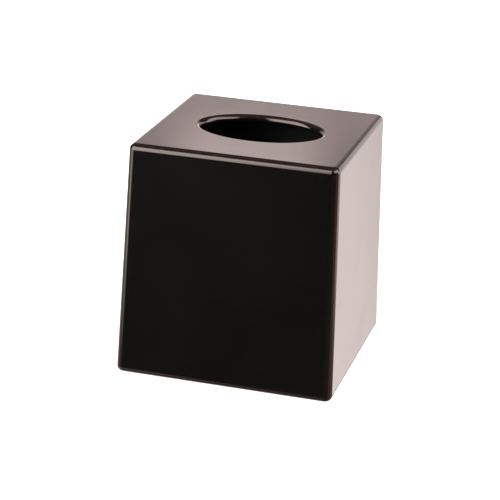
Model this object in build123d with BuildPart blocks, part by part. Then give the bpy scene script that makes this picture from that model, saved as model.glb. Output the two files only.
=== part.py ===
from build123d import *
import os

# A cube-shaped napkin dispenser: a drafted gloss cover with an oval mouth, which lifts off a flat base.
# The origin is on the standing surface, under the middle of the dispenser. The front faces -Y and +Z is up.

# Driving dimensions, in millimetres
overall_height = 139.0
cover_bottom_width = 130.0
cover_top_width = 122.4
side_wall = 4.0
top_wall = 4.0
mouth_length = 72.0
mouth_width = 50.8
carton_width = 112.0
foot_lift = 0.3
floor_thickness = 3.0
rib_height = 4.0

# Rounded edges of the cover
cover_corner_radius = 4.5
cover_top_radius = 3.8
cover_rim_radius = 3.0
cover_rim_chamfer = 0.6
cavity_corner_radius = 2.0
cavity_top_radius = 1.0
mouth_lip_radius = 3.0
mouth_inner_radius = 0.5

# Base plate
base_gap = 0.4
base_corner_radius = 2.5
base_edge_chamfer = 0.5
rib_thickness = 2.0
rib_ring_inset = 6.0
rib_ring_corner_radius = 6.0
rib_root_radius = 0.5
rib_top_radius = 0.4
cross_rib_spacing = 52.0
finger_hole_radius = 10.0
finger_collar_radius = 12.5
finger_hole_edge_radius = 0.8
level_tolerance = 0.01

# Disc magnets, one set in the base and one in the cover's corner webs
magnet_radius = 4.0
magnet_thickness = 2.0
magnet_chamfer = 0.25
magnet_pocket_gap = 0.05
magnet_offset = 55.5
web_height = 3.6
web_leg = 23.0
web_root_depth = 1.4

# Rubber feet, pushed into the base from below
foot_offset = 44.0
foot_radius = 6.0
foot_recess_depth = 1.2
foot_edge_chamfer = 0.4
foot_fit_gap = 0.05
stem_radius = 2.0
barb_radius = 2.7
barb_tip_radius = 1.6
barb_height = 2.0

# Levels and widths that follow from the driving dimensions
cover_height = overall_height - foot_lift
floor_top = foot_lift + floor_thickness
cavity_top = overall_height - top_wall
side_lean = (cover_bottom_width - cover_top_width) / 2
cover_draft = Vector(0, 1).get_angle(Vector(side_lean, cover_height))
cavity_bottom_width = cover_bottom_width - 2 * side_wall
base_width = cavity_bottom_width - 2 * base_gap
rib_ring_width = carton_width - 2 * rib_ring_inset
web_outer = cavity_bottom_width / 2 + web_root_depth

corners = {
    "front_left": (-1, -1),
    "front_right": (1, -1),
    "rear_left": (-1, 1),
    "rear_right": (1, 1),
}
magnet_points = [(magnet_offset * side_x, magnet_offset * side_y) for side_x, side_y in corners.values()]
foot_points = [(foot_offset * side_x, foot_offset * side_y) for side_x, side_y in corners.values()]
pad_top = foot_lift + foot_recess_depth


def drafted_block(width, height, corner_radius, top_radius):
    """A square block on the cover's lower rim, with four leaning sides and rounded corners and top edge."""
    with BuildPart() as block:
        with BuildSketch(Plane.XY.offset(foot_lift)):
            Rectangle(width, width)
        extrude(amount=height, taper=cover_draft)
        sloping_edges = block.edges().group_by(Axis.Z)[1]
        fillet(sloping_edges, corner_radius)
        fillet(block.faces().sort_by(Axis.Z)[-1].edges(), top_radius)
    return block.part


os.makedirs("parts", exist_ok=True)

# Cover shell: four leaning walls and a top in one moulding, open underneath
outer_form = drafted_block(cover_bottom_width, cover_height, cover_corner_radius, cover_top_radius)
cavity_height = cavity_top - foot_lift
cavity_form = drafted_block(cavity_bottom_width, cavity_height, cavity_corner_radius, cavity_top_radius)

with BuildPart() as cover_shell:
    add(outer_form)
    fillet(cover_shell.faces().sort_by(Axis.Z)[0].edges(), cover_rim_radius)
    add(cavity_form, mode=Mode.SUBTRACT)
    rim_inner_wire = cover_shell.faces().sort_by(Axis.Z)[0].inner_wires()[0]
    chamfer(rim_inner_wire.edges(), cover_rim_chamfer)
    # Oval mouth, with a large rounded lip outside and a small one inside
    with BuildSketch(Plane.XY.offset(overall_height)):
        Ellipse(mouth_length / 2, mouth_width / 2)
    extrude(amount=-top_wall, mode=Mode.SUBTRACT)
    mouth_edges = cover_shell.edges().filter_by(GeomType.ELLIPSE).sort_by(Axis.Z)
    fillet(mouth_edges[-1], mouth_lip_radius)
    fillet(mouth_edges[0], mouth_inner_radius)
    # Triangular webs across the inside corners, which stand on the base and hold the cover's magnets
    with BuildSketch(Plane.XY.offset(floor_top)):
        for side_x, side_y in corners.values():
            with BuildLine():
                Polyline(
                    (side_x * web_outer, side_y * web_outer),
                    (side_x * (web_outer - web_leg), side_y * web_outer),
                    (side_x * web_outer, side_y * (web_outer - web_leg)),
                    close=True,
                )
            make_face()
    extrude(amount=web_height)
    with BuildSketch(Plane.XY.offset(floor_top)):
        with Locations(*magnet_points):
            Circle(magnet_radius + magnet_pocket_gap)
    extrude(amount=magnet_thickness, mode=Mode.SUBTRACT)
cover_shell.part.label = "cover_shell"
export_step(cover_shell.part, "parts/cover_shell.step")

# Base plate: a flat floor inside the cover's rim, with ribs on top that carry the napkins or their carton
with BuildPart() as base_plate:
    with BuildSketch(Plane.XY.offset(foot_lift)):
        RectangleRounded(base_width, base_width, base_corner_radius)
    extrude(amount=floor_thickness)
    chamfer(base_plate.faces().sort_by(Axis.Z)[-1].edges(), base_edge_chamfer)
    # A square ring rib, two pairs of cross ribs that stop at it, and a collar round the finger hole
    with BuildSketch(Plane.XY.offset(floor_top)):
        RectangleRounded(rib_ring_width, rib_ring_width, rib_ring_corner_radius)
        offset(amount=-rib_thickness, mode=Mode.SUBTRACT)
        with GridLocations(cross_rib_spacing, 0, 2, 1):
            Rectangle(rib_thickness, rib_ring_width - rib_thickness)
        with GridLocations(0, cross_rib_spacing, 1, 2):
            Rectangle(rib_ring_width - rib_thickness, rib_thickness)
        Circle(finger_collar_radius)
    extrude(amount=rib_height)
    rib_roots = base_plate.edges().filter_by(lambda edge: abs(edge.center().Z - floor_top) < level_tolerance)
    rib_roots = rib_roots.filter_by(lambda edge: abs(edge.center().X) <= rib_ring_width / 2)
    rib_roots = rib_roots.filter_by(lambda edge: abs(edge.center().Y) <= rib_ring_width / 2)
    fillet(rib_roots, rib_root_radius)
    with BuildSketch(Plane.XY.offset(foot_lift)):
        Circle(finger_hole_radius)
    extrude(amount=floor_thickness + rib_height, mode=Mode.SUBTRACT)
    finger_hole_wire = base_plate.faces().sort_by(Axis.Z)[0].inner_wires()[0]
    fillet(finger_hole_wire.edges(), finger_hole_edge_radius)
    fillet(base_plate.faces().group_by(Axis.Z)[-1].edges(), rib_top_radius)
    # Pockets for the magnets from above, and stepped holes for the feet from below
    with BuildSketch(Plane.XY.offset(floor_top)):
        with Locations(*magnet_points):
            Circle(magnet_radius + magnet_pocket_gap)
    extrude(amount=-magnet_thickness, mode=Mode.SUBTRACT)
    with BuildSketch(Plane.XY.offset(foot_lift)):
        with Locations(*foot_points):
            Circle(foot_radius + foot_fit_gap)
    extrude(amount=foot_recess_depth, mode=Mode.SUBTRACT)
    with BuildSketch(Plane.XY.offset(foot_lift)):
        with Locations(*foot_points):
            Circle(stem_radius + foot_fit_gap)
    extrude(amount=floor_thickness, mode=Mode.SUBTRACT)
base_plate.part.label = "base_plate"
export_step(base_plate.part, "parts/base_plate.step")

# Rubber feet: a flat pad in a recess under the base, with a barbed stem through the floor
for corner, (side_x, side_y) in corners.items():
    foot_x = foot_offset * side_x
    foot_y = foot_offset * side_y
    with BuildPart() as foot:
        with BuildSketch(Plane((foot_x, foot_y, 0), x_dir=(1, 0, 0), z_dir=(0, -1, 0))):
            with BuildLine():
                Polyline(
                    (0, 0),
                    (foot_radius - foot_edge_chamfer, 0),
                    (foot_radius, foot_edge_chamfer),
                    (foot_radius, pad_top),
                    (stem_radius, pad_top),
                    (stem_radius, floor_top),
                    (barb_radius, floor_top),
                    (barb_tip_radius, floor_top + barb_height),
                    (0, floor_top + barb_height),
                    close=True,
                )
            make_face()
        revolve(axis=Axis((foot_x, foot_y, 0), (0, 0, 1)))
    foot.part.label = f"foot_{corner}"
    export_step(foot.part, f"parts/foot_{corner}.step")

# Magnets: one disc flush with the top of the floor, and one above it flush with the web's underside
for corner, (side_x, side_y) in corners.items():
    for holder, magnet_bottom in {"base": floor_top - magnet_thickness, "cover": floor_top}.items():
        with BuildPart() as magnet:
            with BuildSketch(Plane((magnet_offset * side_x, magnet_offset * side_y, magnet_bottom))):
                Circle(magnet_radius)
            extrude(amount=magnet_thickness)
            chamfer(magnet.edges().filter_by(GeomType.CIRCLE), magnet_chamfer)
        magnet.part.label = f"{holder}_magnet_{corner}"
        export_step(magnet.part, f"parts/{holder}_magnet_{corner}.step")
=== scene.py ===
import math

import bpy
import numpy as np
from mathutils import Matrix, Vector


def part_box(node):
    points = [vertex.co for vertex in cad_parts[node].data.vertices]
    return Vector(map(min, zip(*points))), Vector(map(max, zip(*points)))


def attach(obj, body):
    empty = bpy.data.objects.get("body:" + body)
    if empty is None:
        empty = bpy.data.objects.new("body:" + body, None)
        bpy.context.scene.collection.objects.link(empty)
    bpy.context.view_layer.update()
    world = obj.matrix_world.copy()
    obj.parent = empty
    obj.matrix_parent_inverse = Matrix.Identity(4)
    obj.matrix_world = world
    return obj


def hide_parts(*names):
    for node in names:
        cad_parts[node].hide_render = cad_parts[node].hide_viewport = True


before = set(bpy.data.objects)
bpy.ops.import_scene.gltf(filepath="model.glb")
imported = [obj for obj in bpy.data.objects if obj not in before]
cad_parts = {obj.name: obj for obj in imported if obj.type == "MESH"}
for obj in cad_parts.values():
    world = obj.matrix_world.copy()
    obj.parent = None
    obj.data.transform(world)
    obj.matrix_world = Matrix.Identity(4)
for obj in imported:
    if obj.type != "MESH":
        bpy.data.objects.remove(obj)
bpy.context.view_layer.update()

# A cube napkin dispenser: the looks around its CAD frame.
# Metres, with the front facing -Y and the standing surface at z = 0.

# ---------------------------------------------------------------- the cover's dimensions

cover_low, cover_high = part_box("cover_shell")
rim_z = cover_low.z
top_z = cover_high.z
bottom_half = 0.0650
top_half = 0.0612
side_wall = 0.0040
top_wall = 0.0040
mouth_half_length = 0.0360
mouth_half_width = 0.0254
corner_radius = 0.0045
top_radius = 0.0038
rim_radius = 0.0030
rim_inner_radius = 0.0006
cavity_corner_radius = 0.0020
cavity_top_radius = 0.0010
lip_radius = 0.0030
lower_lip_radius = 0.0005

lean = (bottom_half - top_half) / (top_z - rim_z)
draft = math.atan(lean)
ceiling_z = top_z - top_wall

# How finely the cover's skin is divided: along a side, round a corner, over a large and a small edge,
# down a wall, and from the mouth to the edge of the top
FLAT_STEPS = 64
CORNER_STEPS = 16
ARC_STEPS = 14
SMALL_ARC_STEPS = 6
WALL_STEPS = 16
TOP_STEPS = 10


# ---------------------------------------------------------------- mesh helpers

def plan_stations():
    """Places round a rounded square: the side's turn, -1 to 1 along it, and the turn of the corner."""
    stations = []
    for side in range(4):
        turn = side * math.pi / 2
        for step in range(FLAT_STEPS):
            stations.append((turn, -1 + 2 * step / FLAT_STEPS, 0.0))
        for step in range(CORNER_STEPS):
            stations.append((turn, 1.0, step / CORNER_STEPS * math.pi / 2))
    return stations


STATIONS = plan_stations()


def square_ring(half, radius):
    """Points of a rounded square and the outward directions there, one of each per station."""
    points, directions = [], []
    for turn, along, arc in STATIONS:
        local_x = half - radius + radius * math.cos(arc)
        local_y = along * (half - radius) + radius * math.sin(arc)
        cosine, sine = math.cos(turn), math.sin(turn)
        points.append((cosine * local_x - sine * local_y, sine * local_x + cosine * local_y))
        directions.append((math.cos(turn + arc), math.sin(turn + arc)))
    return np.array(points), np.array(directions)


def mouth_ring():
    """Points of the mouth's ellipse in the same directions as the stations, and its outward normals."""
    guide, _ = square_ring(top_half - top_radius, corner_radius - top_radius)
    angle = np.arctan2(guide[:, 1] / mouth_half_width, guide[:, 0] / mouth_half_length)
    points = np.stack([mouth_half_length * np.cos(angle), mouth_half_width * np.sin(angle)], 1)
    normals = np.stack([np.cos(angle) / mouth_half_length, np.sin(angle) / mouth_half_width], 1)
    return points, normals / np.linalg.norm(normals, axis=1)[:, None]


def outer_half(z):
    return bottom_half - lean * (z - rim_z)


def inner_half(z):
    return outer_half(z) - side_wall


class Skin:
    """Rings of points with a normal, an edge-wear value and an inside value, closed into one surface."""

    def __init__(self):
        self.points, self.normals, self.wear, self.inside = [], [], [], []

    def ring(self, plan, z, outward, slope, wear=0.0, inside=0.0):
        """Adds a ring. slope is its normals' angle above the horizon, past 90 degrees facing inward."""
        count = len(plan)
        self.points.append(np.column_stack([plan, np.full(count, z)]))
        level = math.cos(slope)
        self.normals.append(np.column_stack([outward * level, np.full(count, math.sin(slope))]))
        self.wear.append(np.full(count, wear))
        self.inside.append(np.full(count, inside))

    def mesh(self, name):
        """All rings joined in order, and the last to the first."""
        rings, count = len(self.points), len(self.points[0])
        index = np.arange(rings * count).reshape(rings, count)
        following = np.roll(index, -1, axis=0)
        beside = np.roll(index, -1, axis=1)
        faces = np.stack([index, following, np.roll(following, -1, axis=1), beside], -1)
        made = bpy.data.meshes.new(name)
        made.from_pydata(np.concatenate(self.points).tolist(), [], faces.reshape(-1, 4).tolist())
        for label, values in (("edge_wear", self.wear), ("inside", self.inside)):
            attribute = made.attributes.new(label, "FLOAT", "POINT")
            attribute.data.foreach_set("value", np.concatenate(values).astype(np.float32))
        made.shade_smooth()
        made.normals_split_custom_set_from_vertices(np.concatenate(self.normals).tolist())
        return made


def arc_angles(start, end, steps=ARC_STEPS):
    return np.linspace(start, end, steps + 1)


def build_cover():
    """The cover as one closed skin: mouth, top, rounded edge, outer wall, rim, inner wall and ceiling."""
    skin = Skin()
    quarter = math.pi / 2
    mouth, mouth_out = mouth_ring()

    def wear_on(angle):
        """Most wear halfway round a rounded edge, and none where it meets a face."""
        return math.sin(2 * abs(angle)) ** 2

    for angle in arc_angles(0, quarter):
        plan = mouth + mouth_out * lip_radius * (1 - math.cos(angle))
        z = top_z - lip_radius + lip_radius * math.sin(angle)
        skin.ring(plan, z, mouth_out, math.pi - angle, wear_on(angle))

    fillet_z = top_z - top_radius
    fillet_half = outer_half(fillet_z) - top_radius / math.cos(draft)
    top_corner = corner_radius - top_radius
    edge_plan, edge_out = square_ring(fillet_half, top_corner)
    lip_plan = mouth + mouth_out * lip_radius
    for step in range(1, TOP_STEPS):
        share = step / TOP_STEPS
        plan = lip_plan * (1 - share) + edge_plan * share
        skin.ring(plan, top_z, edge_out, quarter)
    for angle in arc_angles(quarter, draft):
        reach = top_radius * math.cos(angle)
        plan, out = square_ring(fillet_half + reach, top_corner + reach)
        skin.ring(plan, fillet_z + top_radius * math.sin(angle), out, angle, wear_on(angle))

    rim_fillet_z = rim_z + rim_radius
    rim_fillet_half = outer_half(rim_fillet_z) - rim_radius / math.cos(draft)
    wall_top = fillet_z + top_radius * math.sin(draft)
    wall_bottom = rim_fillet_z + rim_radius * math.sin(draft)
    for step in range(1, WALL_STEPS):
        z = wall_top + (wall_bottom - wall_top) * step / WALL_STEPS
        plan, out = square_ring(outer_half(z), corner_radius)
        skin.ring(plan, z, out, draft)
    rim_corner = corner_radius - rim_radius
    for angle in arc_angles(draft, -quarter):
        reach = rim_radius * math.cos(angle)
        plan, out = square_ring(rim_fillet_half + reach, rim_corner + reach)
        skin.ring(plan, rim_fillet_z + rim_radius * math.sin(angle), out, angle, wear_on(angle))

    inner_rim_z = rim_z + rim_inner_radius
    inner_rim_half = inner_half(inner_rim_z) + rim_inner_radius
    for angle in arc_angles(-quarter, -math.pi + draft, SMALL_ARC_STEPS):
        reach = rim_inner_radius * math.cos(angle)
        plan, out = square_ring(inner_rim_half + reach, cavity_corner_radius + rim_inner_radius + reach)
        skin.ring(plan, inner_rim_z + rim_inner_radius * math.sin(angle), out, angle, wear_on(angle))

    ceiling_fillet_z = ceiling_z - cavity_top_radius
    ceiling_fillet_half = inner_half(ceiling_fillet_z) - cavity_top_radius / math.cos(draft)
    for step in range(1, WALL_STEPS):
        z = inner_rim_z + (ceiling_fillet_z - inner_rim_z) * step / WALL_STEPS
        plan, out = square_ring(inner_half(z), cavity_corner_radius)
        skin.ring(plan, z, out, math.pi + draft, inside=1.0)
    ceiling_corner = cavity_corner_radius - cavity_top_radius
    for angle in arc_angles(draft, quarter, SMALL_ARC_STEPS):
        reach = cavity_top_radius * math.cos(angle)
        plan, out = square_ring(ceiling_fillet_half + reach, ceiling_corner + reach)
        z = ceiling_fillet_z + cavity_top_radius * math.sin(angle)
        skin.ring(plan, z, out, math.pi + angle, inside=1.0)

    ceiling_plan, ceiling_out = square_ring(ceiling_fillet_half, ceiling_corner)
    lower_lip = mouth + mouth_out * lower_lip_radius
    for step in range(1, TOP_STEPS):
        share = step / TOP_STEPS
        plan = ceiling_plan * (1 - share) + lower_lip * share
        skin.ring(plan, ceiling_z, ceiling_out, -quarter, inside=1.0)
    for angle in arc_angles(quarter, 0, SMALL_ARC_STEPS):
        plan = mouth + mouth_out * lower_lip_radius * (1 - math.cos(angle))
        z = ceiling_z + lower_lip_radius - lower_lip_radius * math.sin(angle)
        skin.ring(plan, z, mouth_out, math.pi + angle, wear_on(angle))
    return skin.mesh("cover_moulding")


def link(name, mesh):
    made = bpy.data.objects.new(name, mesh)
    bpy.context.scene.collection.objects.link(made)
    return made


# ---------------------------------------------------------------- the webs inside the cover's corners

floor_thickness = 0.0030
web_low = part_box("base_plate")[0].z + floor_thickness
web_height = 0.0036
web_leg = 0.0230
web_root_depth = 0.0014
web_outer = bottom_half - side_wall + web_root_depth
web_soften = 0.0003
pocket_radius = 0.00405
pocket_depth = 0.0020
pocket_chamfer = 0.0001
hub_radius = 0.0002
magnet_low, magnet_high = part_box("cover_magnet_rear_right")
magnet_centre = (magnet_low + magnet_high) / 2
WEB_STEPS = 96
SHARP_ANGLE = math.radians(30)

# A direction meets a side of the web only if its part along the side's normal is more than this
PARALLEL = 1e-6


def web_outline(grow):
    """The web's triangle, pulled in by grow, as points in even directions from the magnet's centre."""
    centre = np.array([magnet_centre.x, magnet_centre.y])
    hypotenuse = (2 * web_outer - web_leg) / math.sqrt(2)
    sides = (
        (np.array([1.0, 0.0]), web_outer - grow),
        (np.array([0.0, 1.0]), web_outer - grow),
        (np.array([-1.0, -1.0]) / math.sqrt(2), grow - hypotenuse),
    )
    points = []
    for step in range(WEB_STEPS):
        angle = 2 * math.pi * step / WEB_STEPS
        direction = np.array([math.cos(angle), math.sin(angle)])
        faced = [(out, limit) for out, limit in sides if direction @ out > PARALLEL]
        reach = min((limit - centre @ out) / (direction @ out) for out, limit in faced)
        points.append(centre + direction * reach)
    return np.array(points)


def circle_points(radius):
    """A circle round the magnet's centre, with its points in the same directions as the web's outline."""
    centre = np.array([magnet_centre.x, magnet_centre.y])
    angles = np.arange(WEB_STEPS) * 2 * math.pi / WEB_STEPS
    return centre + radius * np.stack([np.cos(angles), np.sin(angles)], 1)


def build_webs():
    """Four corner webs with softened edges and a round pocket from below for the magnet."""
    web_top = web_low + web_height
    shoulder = 0.3 * web_soften
    rings = [
        (circle_points(hub_radius), web_top),
        (web_outline(web_soften), web_top),
        (web_outline(shoulder), web_top - shoulder),
        (web_outline(0.0), web_top - web_soften),
        (web_outline(0.0), web_low),
        (circle_points(pocket_radius + pocket_chamfer), web_low),
        (circle_points(pocket_radius), web_low + pocket_chamfer),
        (circle_points(pocket_radius), web_low + pocket_depth),
        (circle_points(hub_radius), web_low + pocket_depth),
    ]
    points, faces = [], []
    for turn in range(4):
        first = len(points)
        spin = Matrix.Rotation(turn * math.pi / 2, 3, "Z")
        for plan, z in rings:
            points.extend(spin @ Vector((x, y, z)) for x, y in plan)
        for ring in range(len(rings) - 1):
            for step in range(WEB_STEPS):
                here = first + ring * WEB_STEPS + step
                beside = first + ring * WEB_STEPS + (step + 1) % WEB_STEPS
                faces.append((here, here + WEB_STEPS, beside + WEB_STEPS, beside))
        last = first + (len(rings) - 1) * WEB_STEPS
        faces.append([first + step for step in range(WEB_STEPS)])
        faces.append([last + step for step in reversed(range(WEB_STEPS))])
    made = bpy.data.meshes.new("cover_webs")
    made.from_pydata(points, [], faces)
    made.shade_smooth()
    made.set_sharp_from_angle(angle=SHARP_ANGLE)
    return made


# ---------------------------------------------------------------- materials

# Colours of the finishes: each varies between two shades, and marks of other colours are laid over them
COVER_SHADES = ((0.0014, 0.0016, 0.0015, 1), (0.0021, 0.0023, 0.0021, 1))
COVER_SPECKLE = (0.012, 0.009, 0.008, 1)
COVER_WORN = (0.014, 0.010, 0.008, 1)
# Painted light: the cover's inside is painted a lighter teal than its outside, standing in for faint light
# inside the dark cavity
COVER_INSIDE_PAINTED_LIGHT = (0.022, 0.031, 0.030, 1)
COVER_SPECULAR_TINT = (1.0, 0.93, 0.90, 1.0)
BASE_SHADES = ((0.0150, 0.0136, 0.0130, 1), (0.0215, 0.0196, 0.0190, 1))
BASE_RUBBED = (0.044, 0.040, 0.038, 1)
LINT = (0.09, 0.085, 0.08, 1)
RUBBER_SHADES = ((0.016, 0.016, 0.016, 1), (0.026, 0.026, 0.026, 1))
DUST = (0.12, 0.115, 0.105, 1)
NICKEL_SHADES = ((0.74, 0.72, 0.68, 1), (0.60, 0.57, 0.52, 1))
NICKEL_PIT = (0.22, 0.20, 0.18, 1)
FLOOR_COLOUR = (0.72, 0.86, 0.94, 1)
FLOOR_GLOW = 0.62
WHITE = (1, 1, 1, 1)
PLASTIC_IOR = 1.5

# The cover's roughness: its polish, and what haze, marks and the unpolished inside add to it
POLISH_ROUGHNESS = 0.055
HAZE_ROUGHNESS = 0.022
MARK_ROUGHNESS = 0.07
INSIDE_ROUGHNESS = 0.26

# Depths of the surface relief and of the zones that are rubbed or dusty, in metres
SINK_DEPTH = 0.00004
RIPPLE_DEPTH = 0.000008
INSIDE_GRAIN_DEPTH = 0.00006
BASE_GRAIN_DEPTH = 0.00012
PORE_DEPTH = 0.00010
LAPPING_DEPTH = 0.00002
ZONE_START = 0.0006
ZONE_FULL = 0.0001


def node(tree, kind, inputs=None, **settings):
    """A new node with its settings and inputs, each input a number, a colour or another node's output."""
    made = tree.nodes.new(kind)
    for name, value in settings.items():
        setattr(made, name, value)
    for key, value in (inputs or {}).items():
        if isinstance(value, bpy.types.NodeSocket):
            tree.links.new(value, made.inputs[key])
        else:
            made.inputs[key].default_value = value
    return made


def math_node(tree, operation, *values):
    return node(tree, "ShaderNodeMath", dict(enumerate(values)), operation=operation).outputs[0]


def noise(tree, place, scale, detail=2.0, roughness=0.5, distortion=0.0):
    inputs = {
        "Vector": place,
        "Scale": scale,
        "Detail": detail,
        "Roughness": roughness,
        "Distortion": distortion,
    }
    return node(tree, "ShaderNodeTexNoise", inputs).outputs[0]


def ramp(tree, value, low, high, to_low=0.0, to_high=1.0):
    """A smooth step of a value from low to high."""
    inputs = {"Value": value, "From Min": low, "From Max": high, "To Min": to_low, "To Max": to_high}
    return node(tree, "ShaderNodeMapRange", inputs, interpolation_type="SMOOTHSTEP").outputs[0]


def blend_colours(tree, share, first, second):
    return node(tree, "ShaderNodeMix", {0: share, 6: first, 7: second}, data_type="RGBA").outputs[2]


def stretched(tree, place, turn, sizes):
    """Coordinates turned and stretched, for streaks that run one way."""
    inputs = {"Vector": place, "Rotation": turn, "Scale": sizes}
    return node(tree, "ShaderNodeMapping", inputs).outputs[0]


def hairlines(tree, place, turn, width):
    """Thin, broken, slightly bent lines in one direction, as from a dry cloth."""
    streak = noise(tree, stretched(tree, place, turn, (1.0, 26.0, 26.0)), 34.0, 2.0, 0.5, 0.25)
    off_middle = math_node(tree, "ABSOLUTE", math_node(tree, "SUBTRACT", streak, 0.5))
    line = ramp(tree, off_middle, 0.0, width, 1.0, 0.0)
    patch = ramp(tree, noise(tree, place, 31.0, 2.0), 0.52, 0.68)
    return math_node(tree, "MULTIPLY", line, patch)


def bump(tree, height, depth, below=None):
    """Surface relief of a given depth, laid over the relief below it if there is one."""
    inputs = {"Height": height, "Distance": depth, "Strength": 1.0}
    if below is not None:
        inputs["Normal"] = below
    return node(tree, "ShaderNodeBump", inputs).outputs[0]


def new_material(name):
    made = bpy.data.materials.new(name)
    made.use_nodes = True
    made.node_tree.nodes.clear()
    return made, made.node_tree


def finish_material(tree, colour, roughness, relief, constants):
    """The shader and the output, with the constants set on the shader's own sockets."""
    inputs = {"Base Color": colour, "Roughness": roughness, "Normal": relief}
    shader = node(tree, "ShaderNodeBsdfPrincipled", inputs | constants)
    output = node(tree, "ShaderNodeOutputMaterial")
    tree.links.new(shader.outputs[0], output.inputs["Surface"])


def attribute(tree, name):
    return node(tree, "ShaderNodeAttribute", attribute_name=name, attribute_type="GEOMETRY").outputs["Fac"]


def gloss_plastic():
    """Very dark brown moulded plastic with a polished skin, a faint ripple, cloth marks and worn edges;
    its inside is painted a lighter teal, as painted light.
    """
    made, tree = new_material("cover_gloss_plastic")
    place = node(tree, "ShaderNodeTexCoord").outputs["Object"]
    inside = attribute(tree, "inside")
    edge = attribute(tree, "edge_wear")

    flow = noise(tree, place, 11.0, 3.0, 0.5, 1.4)
    pigment = ramp(tree, flow, 0.3, 0.7)
    colour = blend_colours(tree, pigment, *COVER_SHADES)
    speckle = ramp(tree, noise(tree, place, 1900.0, 1.0), 0.66, 0.72)
    colour = blend_colours(tree, math_node(tree, "MULTIPLY", speckle, 0.2), colour, COVER_SPECKLE)
    scuff = ramp(tree, noise(tree, place, 210.0, 4.0, 0.65), 0.47, 0.62)
    worn = math_node(tree, "MULTIPLY", edge, scuff)
    colour = blend_colours(tree, math_node(tree, "MULTIPLY", worn, 0.3), colour, COVER_WORN)
    # Painted light: the inside surfaces get a lighter teal colour in place of the faint light in the
    # cavity
    colour = blend_colours(tree, inside, colour, COVER_INSIDE_PAINTED_LIGHT)

    haze = ramp(tree, noise(tree, place, 24.0, 4.0, 0.6), 0.35, 0.75, 0.0, HAZE_ROUGHNESS)
    wiped = hairlines(tree, place, (0.3, 0.9, 0.7), 0.020)
    wiped_across = hairlines(tree, place, (1.1, 0.2, 2.1), 0.016)
    lines = math_node(tree, "MAXIMUM", wiped, wiped_across)
    roughness = math_node(tree, "ADD", haze, math_node(tree, "MULTIPLY", lines, MARK_ROUGHNESS))
    roughness = math_node(tree, "ADD", roughness, math_node(tree, "MULTIPLY", worn, MARK_ROUGHNESS))
    roughness = math_node(tree, "ADD", roughness, math_node(tree, "MULTIPLY", inside, INSIDE_ROUGHNESS))
    roughness = math_node(tree, "ADD", roughness, POLISH_ROUGHNESS)

    ripple = noise(tree, place, 230.0, 1.0, 0.4)
    sink = noise(tree, place, 28.0, 1.0, 0.4)
    grain = math_node(tree, "MULTIPLY", noise(tree, place, 3600.0, 2.0), inside)
    relief = bump(tree, sink, SINK_DEPTH)
    relief = bump(tree, ripple, RIPPLE_DEPTH, relief)
    relief = bump(tree, grain, INSIDE_GRAIN_DEPTH, relief)
    constants = {"IOR": PLASTIC_IOR, "Specular Tint": COVER_SPECULAR_TINT}
    finish_material(tree, colour, roughness, relief, constants)
    return made


def matte_plastic():
    """Near-black plastic with a fine spark-eroded grain, flow marks and rib tops polished by cartons."""
    made, tree = new_material("base_matte_plastic")
    place = node(tree, "ShaderNodeTexCoord").outputs["Object"]
    height = node(tree, "ShaderNodeSeparateXYZ", {"Vector": place}).outputs[2]
    rib_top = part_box("base_plate")[1].z
    rib_zone = ramp(tree, height, rib_top - ZONE_START, rib_top - ZONE_FULL)
    rub = math_node(tree, "MULTIPLY", rib_zone, ramp(tree, noise(tree, place, 140.0, 4.0, 0.6), 0.35, 0.6))
    flow = ramp(tree, noise(tree, place, 17.0, 4.0, 0.55, 1.8), 0.3, 0.72)
    colour = blend_colours(tree, flow, *BASE_SHADES)
    colour = blend_colours(tree, math_node(tree, "MULTIPLY", rub, 0.5), colour, BASE_RUBBED)
    lint = ramp(tree, noise(tree, place, 620.0, 2.0), 0.68, 0.74)
    colour = blend_colours(tree, math_node(tree, "MULTIPLY", lint, 0.3), colour, LINT)
    roughness = ramp(tree, noise(tree, place, 75.0, 4.0, 0.6), 0.3, 0.7, 0.50, 0.64)
    roughness = math_node(tree, "SUBTRACT", roughness, math_node(tree, "MULTIPLY", rub, 0.2))
    grain = noise(tree, place, 2600.0, 3.0, 0.6)
    relief = bump(tree, grain, BASE_GRAIN_DEPTH)
    finish_material(tree, colour, roughness, relief, {"IOR": PLASTIC_IOR})
    return made


def rubber():
    """Soft black rubber, dusty and scuffed where it stands on the table."""
    made, tree = new_material("foot_rubber")
    place = node(tree, "ShaderNodeTexCoord").outputs["Object"]
    height = node(tree, "ShaderNodeSeparateXYZ", {"Vector": place}).outputs[2]
    sole = ramp(tree, height, ZONE_FULL, ZONE_START, 1.0, 0.0)
    dust = math_node(tree, "MULTIPLY", sole, ramp(tree, noise(tree, place, 420.0, 5.0, 0.65), 0.42, 0.66))
    mottle = ramp(tree, noise(tree, place, 260.0, 3.0), 0.3, 0.7)
    colour = blend_colours(tree, mottle, *RUBBER_SHADES)
    colour = blend_colours(tree, math_node(tree, "MULTIPLY", dust, 0.6), colour, DUST)
    roughness = ramp(tree, noise(tree, place, 380.0, 3.0), 0.3, 0.7, 0.72, 0.88)
    pores = noise(tree, place, 3000.0, 3.0, 0.6)
    relief = bump(tree, pores, PORE_DEPTH)
    finish_material(tree, colour, roughness, relief, {"IOR": PLASTIC_IOR})
    return made


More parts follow.
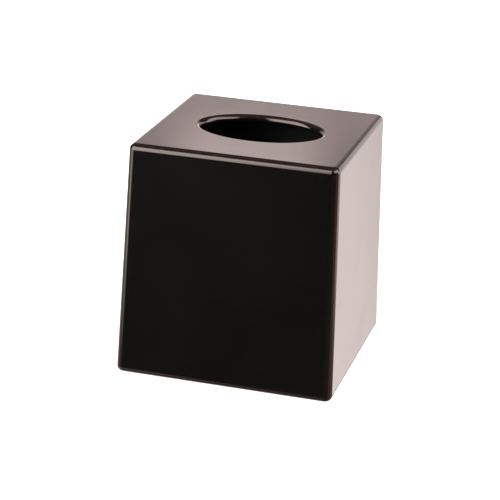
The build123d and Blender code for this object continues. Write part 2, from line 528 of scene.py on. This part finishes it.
def nickel():
    """Nickel plating with a fine lapped grain, patches of tarnish and small pits."""
    made, tree = new_material("magnet_nickel")
    place = node(tree, "ShaderNodeTexCoord").outputs["Object"]
    tarnish = ramp(tree, noise(tree, place, 320.0, 4.0, 0.6), 0.35, 0.75)
    colour = blend_colours(tree, tarnish, *NICKEL_SHADES)
    pits = ramp(tree, noise(tree, place, 2400.0, 2.0), 0.66, 0.72)
    colour = blend_colours(tree, math_node(tree, "MULTIPLY", pits, 0.5), colour, NICKEL_PIT)
    lapped = noise(tree, stretched(tree, place, (0, 0, 0.6), (1.0, 18.0, 1.0)), 520.0, 3.0)
    roughness = ramp(tree, lapped, 0.3, 0.7, 0.18, 0.34)
    roughness = math_node(tree, "ADD", roughness, math_node(tree, "MULTIPLY", pits, 0.25))
    relief = bump(tree, lapped, LAPPING_DEPTH)
    finish_material(tree, colour, roughness, relief, {"Metallic": 1.0})
    return made


materials = {
    "cover_gloss_plastic": gloss_plastic(),
    "base_matte_plastic": matte_plastic(),
    "foot_rubber": rubber(),
    "magnet_nickel": nickel(),
}


# ---------------------------------------------------------------- pieces

cover = link("cover_moulding", build_cover())
webs = link("cover_webs", build_webs())
for piece in (cover, webs):
    piece.data.materials.append(materials["cover_gloss_plastic"])
    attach(piece, "cover")
    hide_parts("cover_shell")

slot_of = {
    "base_plate": "base_matte_plastic",
    "foot": "foot_rubber",
    "base_magnet": "magnet_nickel",
    "cover_magnet": "magnet_nickel",
}
for name, cad_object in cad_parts.items():
    for start, slot in slot_of.items():
        if name.startswith(start):
            cad_object.data.materials.clear()
            cad_object.data.materials.append(materials[slot])


# ---------------------------------------------------------------- stage, light and camera

WARM = (1.0, 0.815, 0.785)
PALE = (1.0, 0.86, 0.82)
BROWN = (1.0, 0.60, 0.50)

# Each soft light or lit surface of the studio: azimuth from the front towards the right, its half width,
# lowest and highest elevation, softness of the edges, all in degrees, its brightness and its tint.
STUDIO = [
    # front left soft box, its foot below the table's edge and its faint fall-off towards the front
    (-44, 32, 0, 54, 6, 7.6, PALE),
    (-62, 14, -19, 2, 3, 4.2, PALE),
    (-44, 26, -14, 40, 12, 0.45, PALE),
    # right soft box, which hangs lower at its far end
    (80, 42, 19, 57, 7, 5.9, PALE),
    (106, 16, -4, 19, 7, 4.4, PALE),
    # backdrop behind, its brighter middle and its lit foot
    (-155, 33, -8, 21.5, 6, 1.045, WARM),
    (-165, 2.2, 16.2, 21, 1.1, 1.12, WARM),
    (-170, 9.5, 1, 12, 2, 1.1, WARM),
    # lit wall and table behind the right, the wall's near part, and its dim end towards the front
    (163.3, 6.3, -14, 16, 3.5, 1.78, PALE),
    (166.1, 3.5, -60, -14, 3.5, 2.08, PALE),
    (130, 26, -19, 17, 3, 2.3, PALE),
    (108, 45, -40, -5, 10, 0.55, BROWN),
    (52, 50, -40, -5, 14, 0.13, BROWN),
    # lit table on the left, behind, in front of the left and underneath, and the ceiling
    (-112, 30, -44, -6, 6, 0.9, WARM),
    (-160, 22, -48, -9, 6, 0.8, WARM),
    (-52, 33.5, -41, -24, 3, 0.9, WARM),
    (-68, 40, -58, -27, 10, 0.5, WARM),
    (-40, 50, -44, -24, 3, 0.4, WARM),
    (0, 180, -95, -34, 8, 0.35, BROWN),
    (0, 180, 34, 95, 14, 0.36, BROWN),
]

# Brightness of the dark room around them
DIM = 0.025


def build_world():
    """A studio seen only in reflections and as light; the camera itself sees plain white."""
    world = bpy.data.worlds.new("studio")
    bpy.context.scene.world = world
    world.use_nodes = True
    tree = world.node_tree
    tree.nodes.clear()
    direction = node(tree, "ShaderNodeTexCoord").outputs["Generated"]
    axes = node(tree, "ShaderNodeSeparateXYZ", {"Vector": direction})
    forward = math_node(tree, "MULTIPLY", axes.outputs[1], -1.0)
    azimuth = math_node(tree, "DEGREES", math_node(tree, "ARCTAN2", axes.outputs[0], forward))
    elevation = math_node(tree, "DEGREES", math_node(tree, "ARCSINE", axes.outputs[2]))
    total = node(tree, "ShaderNodeCombineXYZ", dict(enumerate(DIM * part for part in WARM))).outputs[0]
    for centre, half_width, low, high, soft, brightness, tint in STUDIO:
        turned = math_node(tree, "SUBTRACT", azimuth, float(centre))
        away = math_node(tree, "ABSOLUTE", math_node(tree, "WRAP", turned, 180.0, -180.0))
        across = ramp(tree, away, half_width - soft, half_width + soft, 1.0, 0.0)
        above = ramp(tree, elevation, low - soft, low + soft)
        below = ramp(tree, elevation, high - soft, high + soft, brightness, 0.0)
        patch = math_node(tree, "MULTIPLY", math_node(tree, "MULTIPLY", across, above), below)
        inputs = {0: patch, 1: tint, 2: total}
        total = node(tree, "ShaderNodeVectorMath", inputs, operation="MULTIPLY_ADD").outputs[0]
    studio = node(tree, "ShaderNodeBackground", {"Color": total, "Strength": 1.0})
    white = node(tree, "ShaderNodeBackground", {"Color": WHITE, "Strength": 1.0})
    seen = node(tree, "ShaderNodeLightPath").outputs["Is Camera Ray"]
    mixed = node(tree, "ShaderNodeMixShader", {0: seen, 1: studio.outputs[0], 2: white.outputs[0]})
    output = node(tree, "ShaderNodeOutputWorld")
    tree.links.new(mixed.outputs[0], output.inputs["Surface"])


def build_floor():
    """A plain pale floor, lit almost to white, which takes only a faint contact shadow."""
    made = bpy.data.meshes.new("floor")
    reach = 6.0
    corners = [(-reach, -reach, 0), (reach, -reach, 0), (reach, reach, 0), (-reach, reach, 0)]
    made.from_pydata(corners, [], [(0, 1, 2, 3)])
    floor = link("floor", made)
    material, tree = new_material("floor_pale")
    diffuse = node(tree, "ShaderNodeBsdfDiffuse", {"Color": FLOOR_COLOUR})
    glow = node(tree, "ShaderNodeEmission", {"Color": WHITE, "Strength": FLOOR_GLOW})
    both = node(tree, "ShaderNodeAddShader", {0: diffuse.outputs[0], 1: glow.outputs[0]})
    output = node(tree, "ShaderNodeOutputMaterial")
    tree.links.new(both.outputs[0], output.inputs["Surface"])
    made.materials.append(material)
    floor.visible_glossy = False


def build_camera():
    """The photograph's viewpoint: place in metres, lens in millimetres, and the turns in degrees."""
    place = (0.266804, -1.025522, 0.445897)
    lens = 135.45
    yaw, pitch, roll = (math.radians(angle) for angle in (14.763, 19.870, 2.561))
    back = Vector((math.sin(yaw) * math.cos(pitch), -math.cos(yaw) * math.cos(pitch), math.sin(pitch)))
    right = Vector((math.cos(yaw), math.sin(yaw), 0))
    up = back.cross(right)
    axis_x = right * math.cos(roll) + up * math.sin(roll)
    axis_y = up * math.cos(roll) - right * math.sin(roll)
    data = bpy.data.cameras.new("camera")
    data.sensor_width = 36.0
    data.lens = lens
    data.clip_start = 0.05
    data.clip_end = 50.0
    camera = bpy.data.objects.new("camera", data)
    bpy.context.scene.collection.objects.link(camera)
    turn = Matrix((axis_x, axis_y, back)).transposed().to_4x4()
    camera.matrix_world = Matrix.Translation(place) @ turn
    bpy.context.scene.camera = camera


build_world()
build_floor()
build_camera()
bpy.context.scene.view_settings.view_transform = "Standard"
